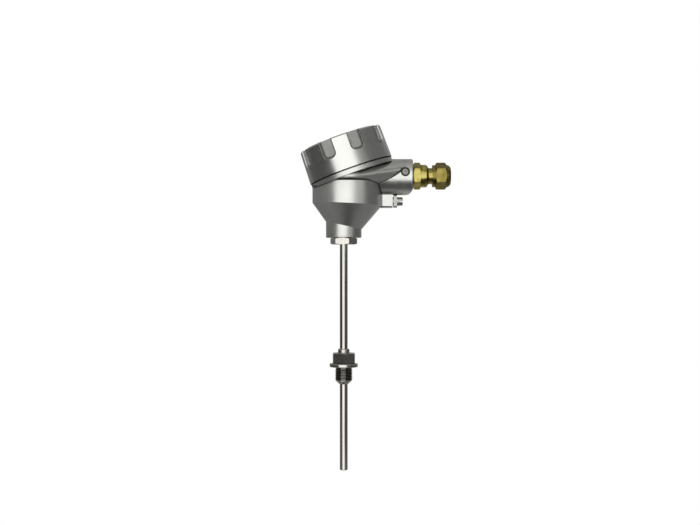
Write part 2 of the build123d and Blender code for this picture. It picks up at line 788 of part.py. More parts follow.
# Two screws and two springs that press the insert down on its seat
with BuildPart() as mount_springs:
    with BuildLine() as spring_path:
        Helix(
            pitch=(spring_height - 2 * spring_wire_radius) / spring_turns,
            height=spring_height - 2 * spring_wire_radius,
            radius=spring_radius,
            center=(0, mount_screw_spacing / 2, plate_top_z + spring_wire_radius),
        )
    with BuildSketch(Plane(origin=spring_path.line @ 0, z_dir=spring_path.line % 0)):
        Circle(spring_wire_radius)
    sweep(path=spring_path.line, is_frenet=True)
    mirror(about=Plane.XZ)
mount_springs.part.label = "mount_springs"
export_step(mount_springs.part, "parts/mount_springs.step")

mount_head_z = plate_top_z + spring_height
with BuildPart() as mount_screws:
    with BuildSketch(Plane.XY.offset(mount_head_z)):
        with GridLocations(0, mount_screw_spacing, 1, 2):
            Circle(mount_head_radius)
    extrude(amount=mount_head_height)
    with BuildSketch(Plane.XY.offset(mount_head_z)):
        with GridLocations(0, mount_screw_spacing, 1, 2):
            Circle(mount_shank_radius)
    extrude(amount=insert_seat_z - mount_thread_depth + face_gap - mount_head_z)
    with BuildSketch(Plane.XY.offset(mount_head_z + mount_head_height)):
        with GridLocations(0, mount_screw_spacing, 1, 2):
            Rectangle(2 * mount_head_radius, screw_slot_width)
    extrude(amount=-screw_slot_depth, mode=Mode.SUBTRACT)
mount_screws.part.label = "mount_screws"
export_step(mount_screws.part, "parts/mount_screws.step")

# Four brass terminal clamps with their screws, standing on a circle on the block
with BuildPart() as terminal_clamps:
    with BuildSketch(Plane.XY.offset(block_top_z)):
        with PolarLocations(terminal_circle_radius, terminal_count, start_angle=180 / terminal_count):
            RectangleRounded(terminal_width, terminal_width, terminal_round)
            Circle(terminal_screw_radius + thread_crest_gap, mode=Mode.SUBTRACT)
    extrude(amount=terminal_height)
terminal_clamps.part.label = "terminal_clamps"
export_step(terminal_clamps.part, "parts/terminal_clamps.step")

with BuildPart() as terminal_screws:
    with BuildSketch(Plane.XY.offset(terminal_top_z)):
        with PolarLocations(terminal_circle_radius, terminal_count, start_angle=180 / terminal_count):
            Circle(terminal_head_radius)
    extrude(amount=terminal_head_height)
    with BuildSketch(Plane.XY.offset(terminal_top_z)):
        with PolarLocations(terminal_circle_radius, terminal_count, start_angle=180 / terminal_count):
            Circle(terminal_screw_radius)
    extrude(amount=seat_gap - terminal_height)
    with BuildSketch(Plane.XY.offset(terminal_top_z + terminal_head_height)):
        with PolarLocations(terminal_circle_radius, terminal_count, start_angle=180 / terminal_count):
            Rectangle(2 * terminal_head_radius, screw_slot_width)
    extrude(amount=-screw_slot_depth, mode=Mode.SUBTRACT)
terminal_screws.part.label = "terminal_screws"
export_step(terminal_screws.part, "parts/terminal_screws.step")

# Sheath: long thin tube with a closed foot, standing just clear of the tip plug
sheath_bottom_z = tube_bottom_z + tip_plug_spigot + sheath_tip_gap
element_bottom_z = sheath_bottom_z + sheath_floor + element_gap
element_top_z = element_bottom_z + element_length
with BuildPart() as insert_sheath:
    with BuildSketch(Plane.XY.offset(sheath_bottom_z)):
        Circle(sheath_radius)
    extrude(amount=plate_top_z - sheath_bottom_z)
    with BuildSketch(Plane.XY.offset(sheath_bottom_z + sheath_floor)):
        Circle(sheath_radius - sheath_wall)
    extrude(amount=plate_top_z - sheath_bottom_z - sheath_floor, mode=Mode.SUBTRACT)
insert_sheath.part.label = "insert_sheath"
export_step(insert_sheath.part, "parts/insert_sheath.step")

# Ceramic insulator with one bore for each wire
with BuildPart() as insulator:
    with BuildSketch(Plane.XY.offset(element_top_z + element_gap)):
        Circle(insulator_radius)
        with PolarLocations(wire_circle_radius, terminal_count, start_angle=180 / terminal_count):
            Circle(wire_radius + wire_bore_gap, mode=Mode.SUBTRACT)
    extrude(amount=plate_top_z - element_top_z - element_gap)
insulator.part.label = "insulator"
export_step(insulator.part, "parts/insulator.step")

# Sensing element at the foot of the sheath
with BuildPart() as sensing_element:
    with BuildSketch(Plane.XY.offset(element_bottom_z)):
        Circle(element_radius)
    extrude(amount=element_length)
    fillet(sensing_element.edges().sort_by(Axis.Z)[0], element_foot_round)
sensing_element.part.label = "sensing_element"
export_step(sensing_element.part, "parts/sensing_element.step")

# Lead wires: up from the element through the insulator, then out to the clamps
wire_level_z = block_top_z + terminal_height / 2
wire_reach = terminal_circle_radius - terminal_width / 2
with BuildPart() as lead_wires:
    for step in range(terminal_count):
        angle = radians((step + 0.5) * 360 / terminal_count)
        with BuildLine() as wire_path:
            FilletPolyline(
                (wire_circle_radius * cos(angle), wire_circle_radius * sin(angle), element_top_z),
                (wire_circle_radius * cos(angle), wire_circle_radius * sin(angle), wire_level_z),
                (wire_reach * cos(angle), wire_reach * sin(angle), wire_level_z),
                radius=wire_bend_radius,
            )
        with BuildSketch(Plane(origin=wire_path.line @ 0, z_dir=wire_path.line % 0)):
            Circle(wire_radius)
        sweep(path=wire_path.line)
lead_wires.part.label = "lead_wires"
export_step(lead_wires.part, "parts/lead_wires.step")

# Inner earth screw beside the insert
with BuildPart() as inner_earth_screw:
    with BuildSketch(Plane.XY.offset(insert_seat_z)):
        with Locations((inner_earth_x, 0)):
            Circle(inner_earth_head_radius)
    extrude(amount=inner_earth_head_height)
    with BuildSketch(Plane.XY.offset(insert_seat_z)):
        with Locations((inner_earth_x, 0)):
            Circle(inner_earth_shank_radius)
    extrude(amount=face_gap - inner_earth_depth)
    with BuildSketch(Plane.XY.offset(insert_seat_z + inner_earth_head_height)):
        with Locations((inner_earth_x, 0)):
            Rectangle(2 * inner_earth_head_radius, screw_slot_width)
    extrude(amount=-screw_slot_depth, mode=Mode.SUBTRACT)
inner_earth_screw.part.label = "inner_earth_screw"
export_step(inner_earth_screw.part, "parts/inner_earth_screw.step")
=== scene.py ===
# %% [markdown]
# # Temperature sensor with a leaning screw lid
# A connection head in cast aluminium with a turned lid, a brass cable gland, a hexagon process
# fitting and a polished steel stem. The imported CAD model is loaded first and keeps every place
# and size. This script gives each surface its finish, makes the one piece whose thread shows,
# and lights it as a small studio would. Lengths below are in millimetres, and Blender works in
# metres, so one named value turns the first into the second.

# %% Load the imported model
import json
from math import cos, pi, radians, tan

import bpy
import numpy as np
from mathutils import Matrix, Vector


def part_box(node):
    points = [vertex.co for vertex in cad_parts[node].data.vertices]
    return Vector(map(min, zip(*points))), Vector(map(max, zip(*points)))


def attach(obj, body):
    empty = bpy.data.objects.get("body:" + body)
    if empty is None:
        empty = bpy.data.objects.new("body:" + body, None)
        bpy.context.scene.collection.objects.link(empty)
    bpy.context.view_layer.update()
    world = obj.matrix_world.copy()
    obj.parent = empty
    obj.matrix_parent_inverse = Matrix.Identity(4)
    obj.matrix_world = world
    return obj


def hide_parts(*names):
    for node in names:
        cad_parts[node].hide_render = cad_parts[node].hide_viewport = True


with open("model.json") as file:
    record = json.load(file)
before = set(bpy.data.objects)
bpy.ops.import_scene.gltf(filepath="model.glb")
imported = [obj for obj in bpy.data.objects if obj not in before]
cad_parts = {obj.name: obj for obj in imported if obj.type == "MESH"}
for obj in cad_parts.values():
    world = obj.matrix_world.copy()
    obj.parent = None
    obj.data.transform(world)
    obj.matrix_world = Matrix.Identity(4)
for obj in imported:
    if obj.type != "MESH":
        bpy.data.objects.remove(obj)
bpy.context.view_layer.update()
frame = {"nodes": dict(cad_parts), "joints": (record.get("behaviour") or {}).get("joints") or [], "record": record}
MM = 0.001

# %% [markdown]
# ## The lid's own frame
# The lid leans, so its turning marks and the thread under it are drawn in the lid's own frame.
# The lean could be typed in, but then a change of the model would leave the marks behind. So it
# is read from the lid's hinge in the record: its place and its axis.

# %% Place and lean of the lid
lid_hinge = next(joint for joint in frame["joints"] if joint["name"] == "lid_turn")
lid_centre = np.array(lid_hinge["pos_m"])
lid_axis = np.array(lid_hinge["axis"])
lean = float(np.arctan2(-lid_axis[0], lid_axis[2]))
print("lid leans by", round(np.degrees(lean), 2), "degrees")

# %% [markdown]
# ## Three small helpers
# Colours are written as sRGB hex values, as a paint card gives them, and a shader wants linear
# light, so one function turns them. A second function adds a node with its settings and links in
# one line, which keeps each material readable as a recipe: an input is either a plain value or
# the output of an earlier node. A third starts a material and hands back its node tree and its
# shader.

# %% Colours and nodes
def linear(code):
    """An sRGB hex colour as linear red, green, blue and alpha: below 0.04045 divide by 12.92,
    else raise (c + 0.055) / 1.055 to the power of 2.4."""
    channels = np.array([int(code[i:i + 2], 16) / 255 for i in (1, 3, 5)])
    curve = np.where(channels <= 0.04045, channels / 12.92, ((channels + 0.055) / 1.055) ** 2.4)
    return (*curve.tolist(), 1.0)


def add_node(tree, kind, inputs=None, **settings):
    """Adds one shader node and returns its outputs. inputs gives each socket a value or the
    output that feeds it, and settings are the node's own properties."""
    node = tree.nodes.new("ShaderNode" + kind)
    for name, value in settings.items():
        setattr(node, name, value)
    for socket, value in (inputs or {}).items():
        if isinstance(value, bpy.types.NodeSocket):
            tree.links.new(value, node.inputs[socket])
        else:
            node.inputs[socket].default_value = value
    return node.outputs


def start_material(name, **sockets):
    """A new material with a Principled shader whose sockets are set to the given values."""
    material = bpy.data.materials.new(name)
    material.use_nodes = True
    shader = material.node_tree.nodes["Principled BSDF"]
    for socket, value in sockets.items():
        shader.inputs[socket.replace("_", " ")].default_value = value
    return material, material.node_tree, shader


finishes = {}
print("linear middle grey:", round(linear("#808080")[0], 3))

# %% [markdown]
# ## Where a point lies
# Every pattern starts from the point's own place on the object. Around a turned piece the useful
# numbers are the height along its axis, the distance from it and the turn about it. A pattern
# could be unwrapped onto each piece instead, but this measure needs no seams and is in true
# millimetres. Each axis below has a foot, in metres, and the turn that brings it upright.

# %% Height, distance and angle about an axis
UPRIGHT = (0.0, 0.0, 0.0)
ALONG_X = (0.0, radians(-90), 0.0)
ALONG_Y = (radians(90), 0.0, 0.0)
AXES = {
    "lid": (tuple(lid_centre), (0.0, lean, 0.0)),
    "gland": ((0.0, 0.0, 0.1955), ALONG_X),
    "boss": ((0.0, 0.0, 0.1945), ALONG_X),
    "lock_pocket": ((0.0623, -0.0178, 0.1986), ALONG_Y),
    "drum": ((0.0034, 0.0, 0.0), UPRIGHT),
    "stem": ((0.0, 0.0, 0.0), UPRIGHT),
}


def about_axis(tree, axis):
    """Millimetres along the axis, millimetres from it, and the turn about it in radians. The
    point is moved to the axis' foot, turned so that the axis is local Z, and scaled."""
    foot, turn = AXES[axis]
    point = add_node(tree, "TexCoord")["Object"]
    moved = add_node(tree, "VectorMath", {0: point, 1: foot}, operation="SUBTRACT")[0]
    turned = add_node(tree, "Mapping", {"Vector": moved, "Rotation": turn, "Scale": (1 / MM,) * 3})[0]
    parts = add_node(tree, "SeparateXYZ", {0: turned})
    flat = add_node(tree, "VectorMath", {0: turned, 1: (1, 1, 0)}, operation="MULTIPLY")[0]
    distance = add_node(tree, "VectorMath", {0: flat}, operation="LENGTH")["Value"]
    angle = add_node(tree, "Math", {0: parts["Y"], 1: parts["X"]}, operation="ARCTAN2")[0]
    return parts["Z"], distance, angle


def between(tree, value, low, high, share=1.0):
    """share where the value lies between low and high, else 0. share may be another such
    result, so that two limits hold at once."""
    above = add_node(tree, "Math", {0: value, 1: low}, operation="GREATER_THAN")[0]
    below = add_node(tree, "Math", {0: value, 1: high}, operation="LESS_THAN")[0]
    both = add_node(tree, "Math", {0: above, 1: below}, operation="MULTIPLY")[0]
    return add_node(tree, "Math", {0: both, 1: share}, operation="MULTIPLY")[0]


print("axes:", ", ".join(AXES))

# %% [markdown]
# ## What a finish is made of
# A real metal surface is never one even value. Its colour drifts in patches, its gloss drifts in
# other patches, and a fine grain or ring pattern catches the light. Inside corners are painted
# darker as shade. Each of these is one small function here. The painted shade in corners is found
# by how much of the sky above a point the piece itself hides, within a few millimetres.

# %% Spots, colour, relief, painted corner shade and threads
NOISE_LOW = 0.3
NOISE_HIGH = 0.7
OPEN_SKY = 0.90
DEEP_CORNER = 0.45


def spots(tree, size_mm, low=None, high=None, detail=2.0, stretch=(1, 1, 1)):
    """Soft random spots of one size. Most of a noise lies between NOISE_LOW and NOISE_HIGH,
    and where low and high are given, that span is spread from low to high. stretch draws the
    spots out along an axis."""
    point = add_node(tree, "TexCoord")["Object"]
    scale = tuple(1 / (MM * size_mm * longer) for longer in stretch)
    placed = add_node(tree, "Mapping", {"Vector": point, "Scale": scale})[0]
    noise = add_node(tree, "TexNoise", {"Vector": placed, "Scale": 1.0, "Detail": detail})["Fac"]
    if low is None:
        return noise
    return add_node(tree, "MapRange", {"Value": noise, "From Min": NOISE_LOW, "From Max": NOISE_HIGH,
                                       "To Min": low, "To Max": high})[0]


def tint(tree, shader, start, end, share):
    """Base colour from start to end, by a share from 0 to 1. start is a hex colour or the
    colour so far, end is a hex colour. Returns the new colour."""
    first = linear(start) if isinstance(start, str) else start
    mixed = add_node(tree, "Mix", {"Factor": share, "A": first, "B": linear(end)}, data_type="RGBA")
    tree.links.new(mixed["Result"], shader.inputs["Base Color"])
    return mixed["Result"]


def raise_surface(tree, shader, height, depth_mm, under=None):
    """Bump: height 0 to 1 stands for 0 to depth_mm. under is a bump that this one adds to."""
    inputs = {"Strength": 1.0, "Distance": depth_mm * MM, "Height": height}
    if under is not None:
        inputs["Normal"] = under
    bump = add_node(tree, "Bump", inputs)[0]
    tree.links.new(bump, shader.inputs["Normal"])
    return bump


def in_corners(tree, reach_mm, strength):
    """Painted shade: 0 on open surface, up to strength in the piece's inside corners, within reach."""
    sky = add_node(tree, "AmbientOcclusion", {"Distance": reach_mm * MM}, samples=8, only_local=True)
    return add_node(tree, "MapRange", {"Value": sky["AO"], "From Min": OPEN_SKY, "To Min": 0.0,
                                       "From Max": DEEP_CORNER, "To Max": strength})[0]


def thread_height(tree, height, angle, pitch):
    """A thread's ridges, 0 at the root and 1 at the crest: a triangle wave of the height in
    turns less the angle in turns."""
    risen = add_node(tree, "Math", {0: height, 1: pitch}, operation="DIVIDE")[0]
    gone_round = add_node(tree, "Math", {0: angle, 1: 2 * pi}, operation="DIVIDE")[0]
    turns = add_node(tree, "Math", {0: risen, 1: gone_round}, operation="SUBTRACT")[0]
    half_wave = add_node(tree, "Math", {0: turns, 1: 0.5}, operation="PINGPONG")[0]
    return add_node(tree, "Math", {0: half_wave, 1: 2.0}, operation="MULTIPLY")[0]


print("a noise from", NOISE_LOW, "to", NOISE_HIGH, "is spread over each finish's own span")

# %% [markdown]
# ## Cast aluminium of the housing
# The housing is die cast, blasted with fine shot and given a clear coat. Blasting leaves a very
# fine grain, which spreads each reflection a little, and the coat adds a faint sharper one over
# it. The grain is really 0.1 to 0.2 mm, too fine for this view, so it is drawn at 0.9 mm and kept
# shallow. Wide patches in roughness stand for uneven blasting.
# Shade is painted here as dark tints: in the pocket of the locking screw, in the creases where the
# web runs into the drum and into the boss, and in the gap under the lid. Each is a dark tint bounded
# by distances from the drum's, the boss's or the pocket's axis. Inside corners get painted shade too.
# The spigot carries the lid's thread, 2 mm a turn, which shows once the lid is off. It is bump,
# because the CAD cylinder is already the thread's outer size.

# %% Cast aluminium
SPIGOT_RADIUS = 38.0
SPIGOT_THREAD_FOOT = 1.2
SPIGOT_THREAD_TOP = 10.8
LID_PITCH = 2.0
LID_THREAD_DEPTH = 0.9
POCKET_RADIUS = 4.8
POCKET_DEPTH = 6.0
DRUM_RADIUS = 35.5
BOSS_RADIUS = 18.5
BOSS_START = 36.0
BOSS_END = 80.0
WEB_MIDDLE = 202.5
CREASE_START = 0.08
CREASE_END = 1.2
CREASE_SHARE = 0.8
SEAT_LINE_FOOT = -1.0
SEAT_LINE_TOP = -0.65
# Colour of the painted shade in creases, corners and gaps.
PAINTED_SHADE = "#3c3c38"


def cast_aluminium():
    """Blasted skin, painted shade in pocket, creases, gap and corners, and the spigot's thread."""
    material, tree, shader = start_material("cast_aluminium", Metallic=1.0, Coat_Weight=0.12,
                                            Coat_Roughness=0.12)
    colour = tint(tree, shader, "#cbcbc8", "#d8d8d5", spots(tree, 18.0, 0.0, 1.0))
    depth, off_axis, _ = about_axis(tree, "lock_pocket")
    in_pocket = between(tree, off_axis, -1.0, POCKET_RADIUS, between(tree, depth, 0.0, POCKET_DEPTH))
    # Painted shade: the pocket round the locking screw is tinted near black.
    colour = tint(tree, shader, colour, "#2e2e2b", in_pocket)
    # Painted shade in the inside corners.
    colour = tint(tree, shader, colour, PAINTED_SHADE, in_corners(tree, 2.2, 0.45))
    level, from_drum, _ = about_axis(tree, "drum")
    along_boss, from_boss, _ = about_axis(tree, "boss")
    by_drum = between(tree, from_drum, DRUM_RADIUS + CREASE_START, DRUM_RADIUS + CREASE_END,
                      CREASE_SHARE)
    under_web = between(tree, along_boss, BOSS_START, BOSS_END,
                        between(tree, level, 0.0, WEB_MIDDLE, CREASE_SHARE))
    by_boss = between(tree, from_boss, BOSS_RADIUS + CREASE_START, BOSS_RADIUS + CREASE_END, under_web)
    crease = add_node(tree, "Math", {0: by_drum, 1: by_boss}, operation="MAXIMUM")[0]
    # Painted shade along the creases under the web.
    colour = tint(tree, shader, colour, PAINTED_SHADE, crease)
    height, distance, angle = about_axis(tree, "lid")
    # Painted shade in the gap under the lid.
    tint(tree, shader, colour, PAINTED_SHADE, between(tree, height, SEAT_LINE_FOOT, SEAT_LINE_TOP))
    tree.links.new(spots(tree, 9.0, 0.30, 0.36), shader.inputs["Roughness"])
    grain = raise_surface(tree, shader, spots(tree, 0.9), 0.018)
    on_spigot = between(tree, distance, SPIGOT_RADIUS - 0.3, SPIGOT_RADIUS + 0.3,
                        thread_height(tree, height, angle, LID_PITCH))
    ridges = between(tree, height, SPIGOT_THREAD_FOOT, SPIGOT_THREAD_TOP, on_spigot)
    raise_surface(tree, shader, ridges, LID_THREAD_DEPTH, under=grain)
    return material


finishes["cast_aluminium"] = cast_aluminium()
print("cast aluminium, nodes:", len(finishes["cast_aluminium"].node_tree.nodes))

# %% [markdown]
# ## Turned aluminium of the lid
# The lid is a casting whose outside is turned on a lathe. The nine grip recesses round its crown
# stay as cast, so they are duller and grainier than the bright bands between them, and that
# contrast is what the eye reads first. A point belongs to a recess when it lies deeper than the
# turned side, which narrows a little upwards. The recess' steep walls, the inside corners and the
# lid's lower edge are painted darker as shade. Turning leaves rings round the axis: here a noise
# reads only height plus distance from the axis, which draws rings on the side and on the flat top
# alike. Real rings are 0.1 mm apart, drawn here at 0.5 mm so that they show.

# %% Turned aluminium with cast recesses
LID_RADIUS = 44.0
LID_HEIGHT = 34.4
LID_TAPER = tan(radians(1.5))
TOP_EDGE = 0.6
SKIN = 0.45
WALL_START = 0.9
WALL_END = 2.7
WALL_SHARE = 0.75
MOUTH_FOOT = -0.1
MOUTH_TOP = 0.45
BORE_THREAD_FOOT = 3.2
BORE_THREAD_TOP = 12.5


def turned_aluminium():
    """Turned rings on the outside, cast grain in the recesses, and the thread in the bore."""
    material, tree, shader = start_material("turned_aluminium", Metallic=1.0)
    height, distance, angle = about_axis(tree, "lid")
    narrowing = add_node(tree, "Math", {0: height, 1: LID_TAPER}, operation="MULTIPLY")[0]
    side = add_node(tree, "Math", {0: LID_RADIUS, 1: narrowing}, operation="SUBTRACT")[0]
    depth = add_node(tree, "Math", {0: side, 1: distance}, operation="SUBTRACT")[0]
    below_top = add_node(tree, "Math", {0: height, 1: LID_HEIGHT - TOP_EDGE}, operation="LESS_THAN")[0]
    recess = between(tree, depth, SKIN, LID_RADIUS, below_top)
    wall_share = add_node(tree, "Math", {0: below_top, 1: WALL_SHARE}, operation="MULTIPLY")[0]
    colour = tint(tree, shader, "#d6d6d3", "#bdbdba", recess)
    # Painted shade: inside corners, then the recess walls, then the lid's lower edge.
    colour = tint(tree, shader, colour, "#4a4a46", in_corners(tree, 2.5, 0.85))
    colour = tint(tree, shader, colour, "#6a6a66", between(tree, depth, WALL_START, WALL_END, wall_share))
    tint(tree, shader, colour, PAINTED_SHADE, between(tree, height, MOUTH_FOOT, MOUTH_TOP))
    rough = add_node(tree, "Mix", {"Factor": recess, "A": spots(tree, 14.0, 0.21, 0.27),
                                   "B": spots(tree, 1.2, 0.46, 0.62)}, data_type="FLOAT")["Result"]
    tree.links.new(rough, shader.inputs["Roughness"])
    along_skin = add_node(tree, "Math", {0: height, 1: distance}, operation="ADD")[0]
    rings = add_node(tree, "TexNoise", {"W": along_skin, "Scale": 2.0, "Detail": 1.0},
                     noise_dimensions="1D")["Fac"]
    outside = add_node(tree, "Math", {0: 1.0, 1: recess}, operation="SUBTRACT")[0]
    turned_part = add_node(tree, "Math", {0: rings, 1: outside}, operation="MULTIPLY")[0]
    lines = raise_surface(tree, shader, turned_part, 0.010)
    cast_part = add_node(tree, "Math", {0: spots(tree, 1.4, detail=3.0), 1: recess},
                         operation="MULTIPLY")[0]
    grain = raise_surface(tree, shader, cast_part, 0.30, under=lines)
    in_bore = between(tree, distance, SPIGOT_RADIUS - 0.3, SPIGOT_RADIUS + 0.4,
                      thread_height(tree, height, angle, LID_PITCH))
    ridges = between(tree, height, BORE_THREAD_FOOT, BORE_THREAD_TOP, in_bore)
    raise_surface(tree, shader, ridges, LID_THREAD_DEPTH, under=grain)
    return material


finishes["turned_aluminium"] = turned_aluminium()
print("turned aluminium, nodes:", len(finishes["turned_aluminium"].node_tree.nodes))

# %% [markdown]
# ## Stainless steel
# The stem is drawn tube, polished along its length, and the fitting, union and tip are turned
# from bar. Both are bright, and a small roughness keeps the long reflections of the studio soft
# at their edges. Drawing lines run along Z, so the spots are stretched a hundredfold that way.
# The roots of the process thread are painted darker than its crests as shade, and so are the
# corners under the flange and the collar.

# %% Stainless steel
TUBE_RADIUS = 4.0
THREAD_FOOT = -13.3
THREAD_TOP = -0.2
ROOT_LIMIT = 8.7
DRAWN_OUT = (1, 1, 100)


def stainless_steel():
    """Lengthwise drawing lines, with painted shade in the thread's roots and in the corners."""
    material, tree, shader = start_material("stainless_steel", Metallic=1.0)
    drawn = spots(tree, 0.5, 0.0, 1.0, stretch=DRAWN_OUT)
    colour = tint(tree, shader, "#bdbbb4", "#d4d2cc", drawn)
    height, distance, _ = about_axis(tree, "stem")
    # Painted shade: the thread's roots, then the inside corners.
    in_root = between(tree, height, THREAD_FOOT, THREAD_TOP,
                      between(tree, distance, TUBE_RADIUS + 0.3, ROOT_LIMIT))
    colour = tint(tree, shader, colour, "#6e6d68", in_root)
    tint(tree, shader, colour, "#3a3934", in_corners(tree, 2.0, 0.8))
    tree.links.new(spots(tree, 6.0, 0.10, 0.15), shader.inputs["Roughness"])
    return material


finishes["stainless"] = stainless_steel()
print("stainless steel, nodes:", len(finishes["stainless"].node_tree.nodes))

# %% [markdown]
# ## Brass of the gland
# The gland is turned from hexagon bar in free-cutting brass and left bare, so it has dulled to
# olive in patches while the turned bands stay bright. Its inside corners are painted darker brown
# as shade. The cap takes the same recipe in deeper colours, a painted shade. The rings run round X,
# the gland's axis. Under the cap the nose has the cap's thread, 1.5 mm a turn, which shows when
# the cap is screwed back.

# %% Turned brass
NOSE_RADIUS = 8.3
NOSE_FOOT_X = 91.0
NOSE_END_X = 99.6
CAP_PITCH = 1.5
CAP_THREAD_DEPTH = 0.6


def turned_brass(name, dark, light):
    """Dull patches from dark to light, turned rings, painted shade in corners and the nose's thread."""
    material, tree, shader = start_material(name, Metallic=1.0)
    colour = tint(tree, shader, dark, light, spots(tree, 5.0, 0.0, 1.0, detail=4.0))
    # Painted shade in the inside corners, in dark brown.
    tint(tree, shader, colour, "#4a3c12", in_corners(tree, 2.5, 0.8))
    tree.links.new(spots(tree, 2.5, 0.20, 0.32), shader.inputs["Roughness"])
    along, distance, angle = about_axis(tree, "gland")
    along_skin = add_node(tree, "Math", {0: along, 1: distance}, operation="ADD")[0]
    rings = add_node(tree, "TexNoise", {"W": along_skin, "Scale": 2.4, "Detail": 1.0},
                     noise_dimensions="1D")["Fac"]
    lines = raise_surface(tree, shader, rings, 0.02)
    on_nose = between(tree, distance, NOSE_RADIUS - 0.3, NOSE_RADIUS + 0.2,
                      thread_height(tree, along, angle, CAP_PITCH))
    ridges = between(tree, along, NOSE_FOOT_X, NOSE_END_X, on_nose)
    raise_surface(tree, shader, ridges, CAP_THREAD_DEPTH, under=lines)
    return material


finishes["gland_brass"] = turned_brass("turned_brass", "#938540", "#c9bd72")
# Painted shade: the cap gets the same brass recipe in darker colours.
cap_brass_painted_shade = turned_brass("cap_brass_painted_shade", "#72672f", "#9d9052")
print("turned brass, nodes:", len(cap_brass_painted_shade.node_tree.nodes))

# %% [markdown]
# ## The smaller finishes
# These pieces are small or inside, so they share one short recipe: patches of colour, patches of
# gloss and, where the surface is moulded or plated, a fine grain. Zinc plating on the earth clamp
# and screws is pale and a little milky. The locking screw is blackened steel, oiled. Seals and
# gasket are moulded rubber, dull with a faint bloom. The terminal block is fired steatite,
# off-white and unglazed, and its clamps are nickel plated brass. The leads are drawn nickel wire.

# %% Plated steel, blackened steel, rubber, ceramic, nickel
def small_finish(name, colours, colour_mm, roughness, rough_mm, grain=None, detail=2.0, **sockets):
    """colours and roughness are each a low and a high value, with the size of their spots.
    grain is the size and depth of a fine relief."""
    material, tree, shader = start_material(name, **sockets)
    tint(tree, shader, *colours, spots(tree, colour_mm, 0.0, 1.0, detail))
    tree.links.new(spots(tree, rough_mm, *roughness), shader.inputs["Roughness"])
    if grain:
        grain_mm, depth_mm = grain
        raise_surface(tree, shader, spots(tree, grain_mm), depth_mm)
    return material


finishes["plated_steel"] = small_finish("zinc_plated_steel", ("#a0a09b", "#c0c0bc"), 2.0,
                                        (0.28, 0.42), 1.2, grain=(0.6, 0.01), Metallic=1.0)
finishes["dark_steel"] = small_finish("blackened_steel", ("#70706d", "#8e8e8a"), 1.5,
                                      (0.22, 0.40), 1.0, Metallic=1.0)
finishes["black_rubber"] = small_finish("moulded_rubber", ("#1c1c1b", "#2b2b29"), 3.0,
                                        (0.55, 0.75), 0.8, grain=(0.5, 0.02), IOR=1.52)
finishes["white_ceramic"] = small_finish("fired_steatite", ("#ddd6c6", "#efe9dc"), 6.0,
                                         (0.5, 0.7), 2.0, grain=(0.7, 0.02), detail=4.0, IOR=1.58)
finishes["nickel_brass"] = small_finish("nickel_plated_brass", ("#c9c1a6", "#ddd7c2"), 3.0,
                                        (0.24, 0.36), 1.5, Metallic=1.0)
finishes["nickel_wire"] = small_finish("drawn_nickel", ("#b9b3a4", "#cfcabd"), 1.0,
                                       (0.25, 0.35), 1.0, Metallic=1.0)
print("finishes:", ", ".join(finishes))

# %% [markdown]
# ## Each node gets its finish
# The record names a material slot for each node, so the finishes are handed out by slot and no
# node can be missed. Only the gland's cap then changes to its darker brass, a painted shade.

# %% Hand out the finishes
slot_of = {part["node"]: part["material_slot"] for part in frame["record"]["subparts"]}
for name, piece in frame["nodes"].items():
    piece.data.materials.clear()
    piece.data.materials.append(finishes[slot_of[name]])
frame["nodes"]["gland_cap"].data.materials[0] = cap_brass_painted_shade
print("finishes:", len(finishes), "nodes dressed:", len(slot_of))

# %% [markdown]
# ## Process fitting with a real thread
# The fitting is turned from hexagon bar: a nose, an M18 x 1.5 thread, an undercut where the
# thread cutter runs out, a round flange, the hexagon and a collar brazed on the tube. The CAD
# piece has a plain cylinder for the thread, and this one shows in profile against white, so it is
# made here as geometry. It is one closed surface: each row is a ring at its own height, each
# column an angle, and the rows go up the outside and back down the bore. A ring's distance from
# the axis is its row's radius, limited by the hexagon on the hexagon's rows and cut by the thread
# form on the thread's rows.

# %% Sizes of the fitting
fitting_low, fitting_high = (np.array(corner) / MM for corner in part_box("process_fitting"))
FLANGE_RADIUS = float(fitting_high[0])
FLANGE_HEIGHT = 3.6
FLANGE_ROUND = 0.8
HEX_FLATS = 22.0
HEX_TOP = 14.4
HEX_TURN = radians(33.7)
HEX_BEVEL = tan(radians(30))
COLLAR_RADIUS = 5.9
COLLAR_TOP = float(fitting_high[2])
COLLAR_ROUND = 1.2
COLLAR_FILLET = 0.6
NOSE_FOOT = float(fitting_low[2])
NOSE_LAND = 4.6
THREAD_RADIUS = 9.0
THREAD_PITCH = 1.5
THREAD_DEPTH = 0.92
THREAD_ROWS = 170
CREST_HALF = 1 / 16
FLANK = 5 / 16
UNDERCUT_RADIUS = 8.25
UNDERCUT_WIDTH = 2.0
print("fitting from", round(NOSE_FOOT, 2), "to", round(COLLAR_TOP, 2), "mm, flange", FLANGE_RADIUS)


# %% Rows of the fitting
def arc(centre_r, centre_z, radius, start, end, count=6):
    """Rows on a quarter round: centre plus radius times cosine and sine of angles in degrees."""
    angles = np.radians(np.linspace(start, end, count))
    return centre_r + radius * np.cos(angles), centre_z + radius * np.sin(angles)


